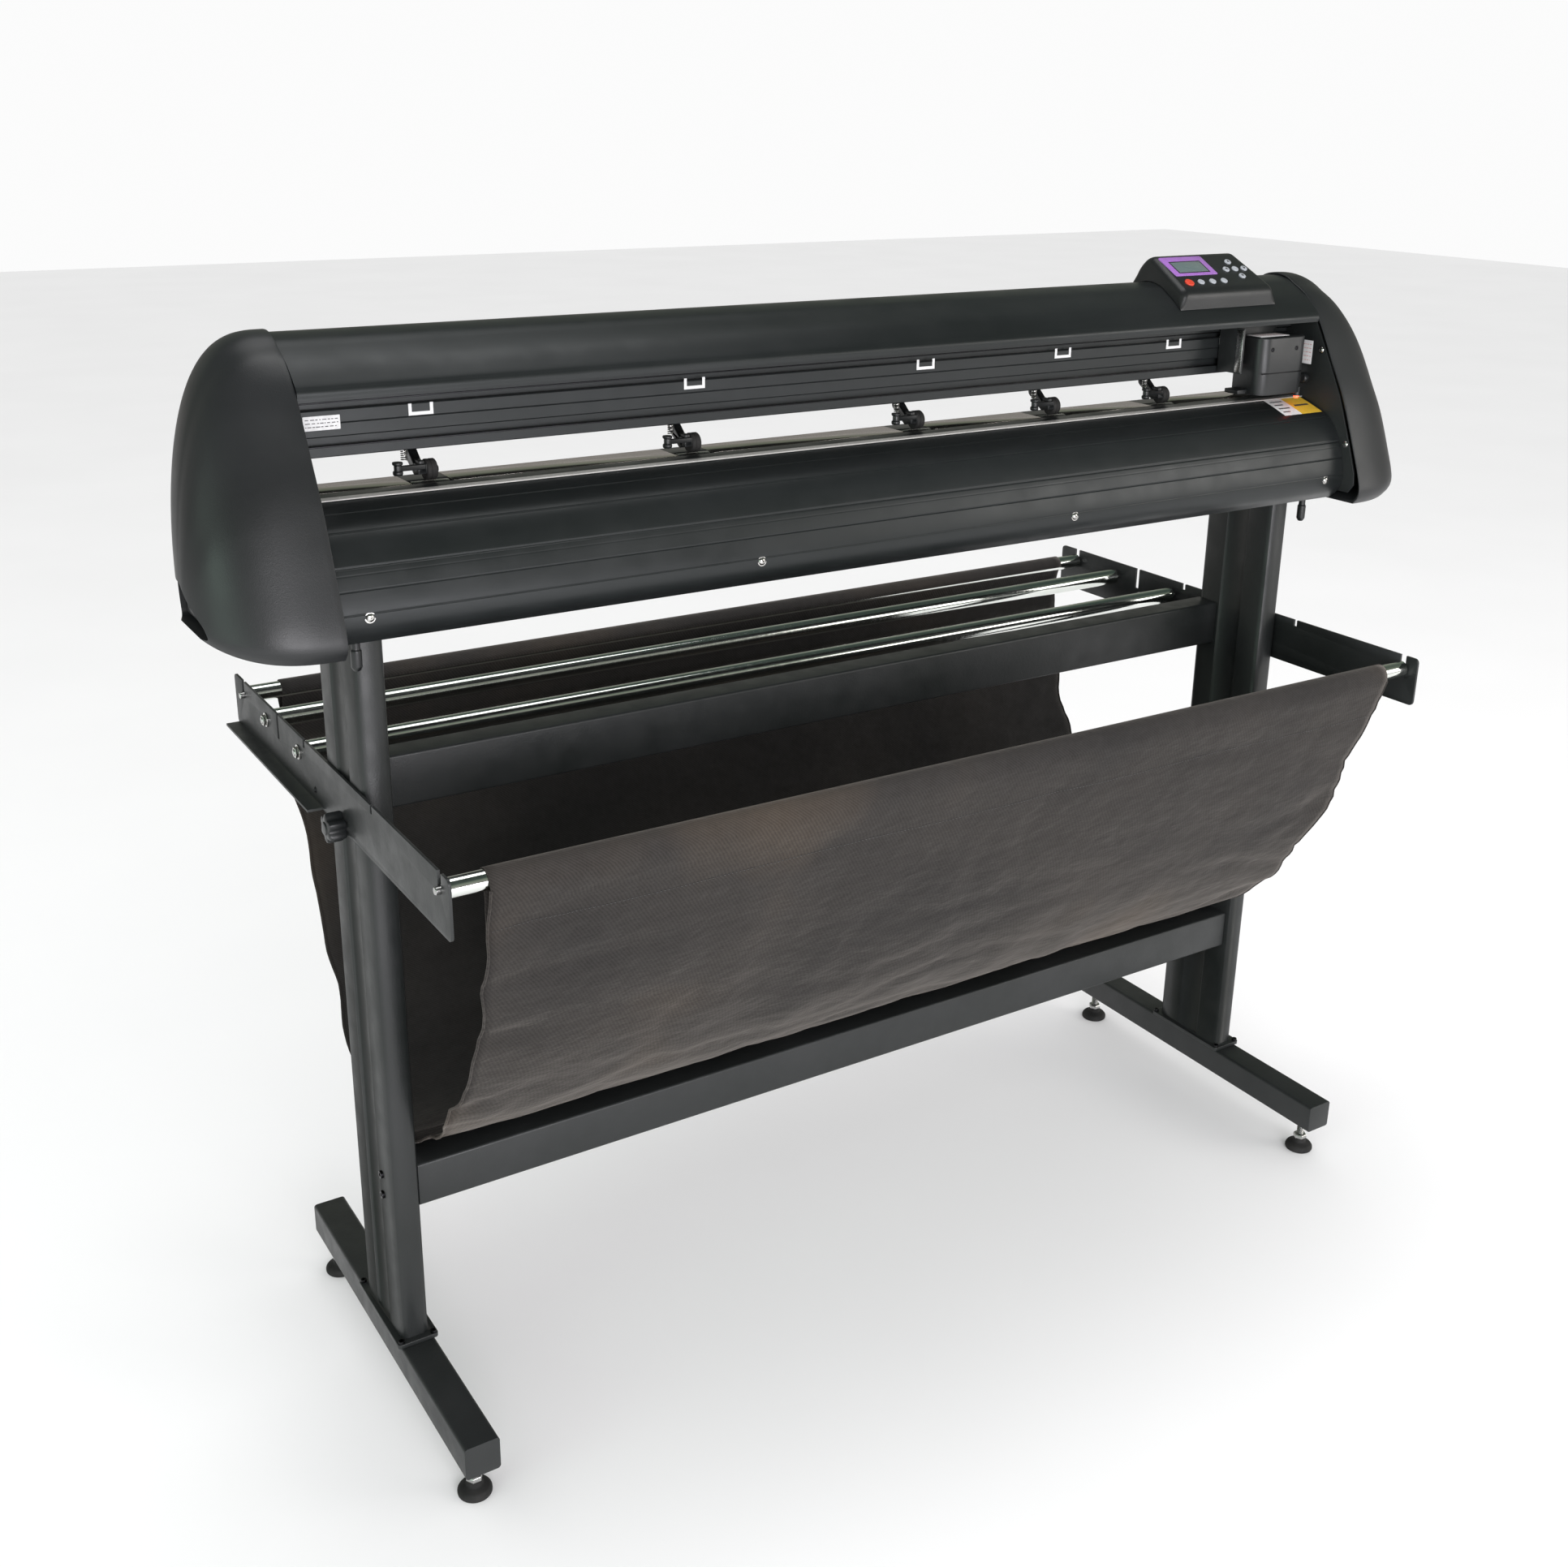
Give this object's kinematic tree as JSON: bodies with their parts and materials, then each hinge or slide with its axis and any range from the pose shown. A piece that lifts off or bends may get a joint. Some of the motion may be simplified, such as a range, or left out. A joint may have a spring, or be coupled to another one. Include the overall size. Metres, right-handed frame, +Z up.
{
  "type": "vinyl cutter",
  "caption": "Roll-fed vinyl cutter: long housing with end caps, sliding tool carriage, pinch wheels and a control pod, on a stand with media rollers and a cloth bag.",
  "frame": {"origin": "middle of the footprint, on the floor under the levelling pads", "axes": "+Z up, +X along the head to the operator's right, -Y towards the operator"},
  "size_m": [1.6268, 0.694, 1.2464],
  "materials": {
    "black_powder": "satin black powder coat",
    "black_extrusion": "black anodised extrusion with fine lengthwise lines",
    "black_plastic": "fine-grained moulded black plastic",
    "chrome": "polished tube",
    "steel": "bright machined steel",
    "bag_cloth": "dark twill cloth",
    "rubber": "matte black rubber",
    "screen": "purple bezel with a green-grey display",
    "stop_red": "glossy red key",
    "key_grey": "light grey key"
  },
  "bodies": {
    "frame": {"catch_bag": "bag_cloth", "chassis_pan": "black_powder", "control_pod": "black_plastic", "display_window": "screen", "drive_belt": "rubber", "feed_motor": "black_powder", "front_apron": "black_extrusion", "front_bag_rod": "chrome", "guide_beam": "black_extrusion", "left_column": "black_powder", "left_end_cap": "black_plastic", "left_foot_beam": "black_powder", "left_media_bracket": "black_powder", "left_side_plate": "black_powder", "lower_crossbar": "black_powder", "platen": "black_extrusion", "power_inlet": "black_plastic", "rear_apron": "black_extrusion", "rear_bag_rod": "chrome", "right_column": "black_powder", "right_end_cap": "black_plastic", "right_foot_beam": "black_powder", "right_media_bracket": "black_powder", "right_side_plate": "black_powder", "top_cover": "black_extrusion", "upper_crossbar": "black_powder", "x_motor": "black_powder"},
    "carriage": {"carriage_plate": "steel", "carriage_cover": "black_plastic"},
    "tool": {"tool_holder": "steel"},
    "drive_shaft": {"drive_shaft": "steel"},
    "front_roller": {"front_media_roller": "chrome"},
    "rear_roller": {"rear_media_roller": "chrome"},
    "belt_idler": {"belt_idler": "steel"},
    "power_rocker": {"power_switch": "black_plastic"},
    "left_knob": {"left_bracket_knob": "black_plastic"},
    "right_knob": {"right_bracket_knob": "black_plastic"},
    "arm_1": {"pinch_arm_1": "black_plastic"},
    "wheel_1": {"pinch_wheel_1": "rubber"},
    "arm_2": {"pinch_arm_2": "black_plastic"},
    "wheel_2": {"pinch_wheel_2": "rubber"},
    "arm_3": {"pinch_arm_3": "black_plastic"},
    "wheel_3": {"pinch_wheel_3": "rubber"},
    "arm_4": {"pinch_arm_4": "black_plastic"},
    "wheel_4": {"pinch_wheel_4": "rubber"},
    "arm_5": {"pinch_arm_5": "black_plastic"},
    "wheel_5": {"pinch_wheel_5": "rubber"},
    "arrow_button_down_body": {"arrow_button_down": "key_grey"},
    "arrow_button_enter_body": {"arrow_button_enter": "key_grey"},
    "arrow_button_left_body": {"arrow_button_left": "key_grey"},
    "arrow_button_right_body": {"arrow_button_right": "key_grey"},
    "arrow_button_up_body": {"arrow_button_up": "key_grey"},
    "menu_button_1_body": {"menu_button_1": "key_grey"},
    "menu_button_2_body": {"menu_button_2": "key_grey"},
    "menu_button_3_body": {"menu_button_3": "key_grey"},
    "stop_button_body": {"stop_button": "stop_red"},
    "left_front_leveling_foot_body": {"left_front_leveling_foot": "rubber"},
    "left_rear_leveling_foot_body": {"left_rear_leveling_foot": "rubber"},
    "right_front_leveling_foot_body": {"right_front_leveling_foot": "rubber"},
    "right_rear_leveling_foot_body": {"right_rear_leveling_foot": "rubber"}
  },
  "joints": [
    {"name": "carriage_slide", "type": "slide", "parent": "frame", "child": "carriage", "axis": [-1, 0, 0], "range_m": [0, 1.195]},
    {"name": "tool_lift", "type": "slide", "parent": "carriage", "child": "tool", "axis": [0, 0, -1], "range_m": [0, 0.005], "stiffness_N_per_m": 400, "springref_m": -0.004},
    {"name": "drive_shaft_spin", "type": "hinge", "parent": "frame", "child": "drive_shaft", "pos_m": [0, -0.037, 1.0505], "axis": [1, 0, 0], "continuous": true},
    {"name": "pinch_lift_1", "type": "hinge", "parent": "frame", "child": "arm_1", "pos_m": [-0.54, -0.015, 1.088], "axis": [-1, 0, 0], "range_deg": [0, 15], "stiffness_Nm_per_rad": 1, "springref_deg": -28.65},
    {"name": "pinch_wheel_spin_1", "type": "hinge", "parent": "arm_1", "child": "wheel_1", "pos_m": [-0.54, -0.037, 1.0718], "axis": [1, 0, 0], "continuous": true},
    {"name": "pinch_lift_2", "type": "hinge", "parent": "frame", "child": "arm_2", "pos_m": [-0.233, -0.015, 1.088], "axis": [-1, 0, 0], "range_deg": [0, 15], "stiffness_Nm_per_rad": 1, "springref_deg": -28.65},
    {"name": "pinch_wheel_spin_2", "type": "hinge", "parent": "arm_2", "child": "wheel_2", "pos_m": [-0.233, -0.037, 1.0718], "axis": [1, 0, 0], "continuous": true},
    {"name": "pinch_lift_3", "type": "hinge", "parent": "frame", "child": "arm_3", "pos_m": [0.073, -0.015, 1.088], "axis": [-1, 0, 0], "range_deg": [0, 15], "stiffness_Nm_per_rad": 1, "springref_deg": -28.65},
    {"name": "pinch_wheel_spin_3", "type": "hinge", "parent": "arm_3", "child": "wheel_3", "pos_m": [0.073, -0.037, 1.0718], "axis": [1, 0, 0], "continuous": true},
    {"name": "pinch_lift_4", "type": "hinge", "parent": "frame", "child": "arm_4", "pos_m": [0.284, -0.015, 1.088], "axis": [-1, 0, 0], "range_deg": [0, 15], "stiffness_Nm_per_rad": 1, "springref_deg": -28.65},
    {"name": "pinch_wheel_spin_4", "type": "hinge", "parent": "arm_4", "child": "wheel_4", "pos_m": [0.284, -0.037, 1.0718], "axis": [1, 0, 0], "continuous": true},
    {"name": "pinch_lift_5", "type": "hinge", "parent": "frame", "child": "arm_5", "pos_m": [0.47, -0.015, 1.088], "axis": [-1, 0, 0], "range_deg": [0, 15], "stiffness_Nm_per_rad": 1, "springref_deg": -28.65},
    {"name": "pinch_wheel_spin_5", "type": "hinge", "parent": "arm_5", "child": "wheel_5", "pos_m": [0.47, -0.037, 1.0718], "axis": [1, 0, 0], "continuous": true},
    {"name": "front_roller_spin", "type": "hinge", "parent": "frame", "child": "front_roller", "pos_m": [0, 0.097, 0.742], "axis": [1, 0, 0], "continuous": true},
    {"name": "rear_roller_spin", "type": "hinge", "parent": "frame", "child": "rear_roller", "pos_m": [0, 0.219, 0.742], "axis": [1, 0, 0], "continuous": true},
    {"name": "belt_idler_spin", "type": "hinge", "parent": "frame", "child": "belt_idler", "pos_m": [-0.655, -0.036, 1.174], "axis": [0, 1, 0], "continuous": true},
    {"name": "left_knob_turn", "type": "hinge", "parent": "frame", "child": "left_knob", "pos_m": [-0.67, -0.049, 0.708], "axis": [1, 0, 0], "continuous": true},
    {"name": "right_knob_turn", "type": "hinge", "parent": "frame", "child": "right_knob", "pos_m": [0.67, -0.049, 0.708], "axis": [1, 0, 0], "continuous": true},
    {"name": "power_rocker_tilt", "type": "hinge", "parent": "frame", "child": "power_rocker", "pos_m": [-0.79, -0.109, 0.972], "axis": [0, 1, 0], "range_deg": [0, 14]},
    {"name": "arrow_button_down_press", "type": "slide", "parent": "frame", "child": "arrow_button_down_body", "axis": [0, 0.4787, -0.878], "range_m": [0, 0.0012], "stiffness_N_per_m": 600, "springref_m": -0.0008},
    {"name": "arrow_button_enter_press", "type": "slide", "parent": "frame", "child": "arrow_button_enter_body", "axis": [0, 0.4787, -0.878], "range_m": [0, 0.0012], "stiffness_N_per_m": 600, "springref_m": -0.0008},
    {"name": "arrow_button_left_press", "type": "slide", "parent": "frame", "child": "arrow_button_left_body", "axis": [0, 0.4787, -0.878], "range_m": [0, 0.0012], "stiffness_N_per_m": 600, "springref_m": -0.0008},
    {"name": "arrow_button_right_press", "type": "slide", "parent": "frame", "child": "arrow_button_right_body", "axis": [0, 0.4787, -0.878], "range_m": [0, 0.0012], "stiffness_N_per_m": 600, "springref_m": -0.0008},
    {"name": "arrow_button_up_press", "type": "slide", "parent": "frame", "child": "arrow_button_up_body", "axis": [0, 0.4787, -0.878], "range_m": [0, 0.0012], "stiffness_N_per_m": 600, "springref_m": -0.0008},
    {"name": "menu_button_1_press", "type": "slide", "parent": "frame", "child": "menu_button_1_body", "axis": [0, 0.4787, -0.878], "range_m": [0, 0.0012], "stiffness_N_per_m": 600, "springref_m": -0.0008},
    {"name": "menu_button_2_press", "type": "slide", "parent": "frame", "child": "menu_button_2_body", "axis": [0, 0.4787, -0.878], "range_m": [0, 0.0012], "stiffness_N_per_m": 600, "springref_m": -0.0008},
    {"name": "menu_button_3_press", "type": "slide", "parent": "frame", "child": "menu_button_3_body", "axis": [0, 0.4787, -0.878], "range_m": [0, 0.0012], "stiffness_N_per_m": 600, "springref_m": -0.0008},
    {"name": "stop_button_press", "type": "slide", "parent": "frame", "child": "stop_button_body", "axis": [0, 0.4787, -0.878], "range_m": [0, 0.0012], "stiffness_N_per_m": 600, "springref_m": -0.0008},
    {"name": "left_front_leveling_foot_travel", "type": "slide", "parent": "frame", "child": "left_front_leveling_foot_body", "axis": [0, 0, -1], "range_m": [-0.01, 0.008]},
    {"name": "left_rear_leveling_foot_travel", "type": "slide", "parent": "frame", "child": "left_rear_leveling_foot_body", "axis": [0, 0, -1], "range_m": [-0.01, 0.008]},
    {"name": "right_front_leveling_foot_travel", "type": "slide", "parent": "frame", "child": "right_front_leveling_foot_body", "axis": [0, 0, -1], "range_m": [-0.01, 0.008]},
    {"name": "right_rear_leveling_foot_travel", "type": "slide", "parent": "frame", "child": "right_rear_leveling_foot_body", "axis": [0, 0, -1], "range_m": [-0.01, 0.008]}
  ],
  "couplings": [
    {"joint": "pinch_wheel_spin_1", "follows": "drive_shaft_spin", "ratio": -0.90909},
    {"joint": "pinch_wheel_spin_2", "follows": "drive_shaft_spin", "ratio": -0.90909},
    {"joint": "pinch_wheel_spin_3", "follows": "drive_shaft_spin", "ratio": -0.90909},
    {"joint": "pinch_wheel_spin_4", "follows": "drive_shaft_spin", "ratio": -0.90909},
    {"joint": "pinch_wheel_spin_5", "follows": "drive_shaft_spin", "ratio": -0.90909},
    {"joint": "belt_idler_spin", "follows": "carriage_slide", "rad_per_m": 100}
  ]
}
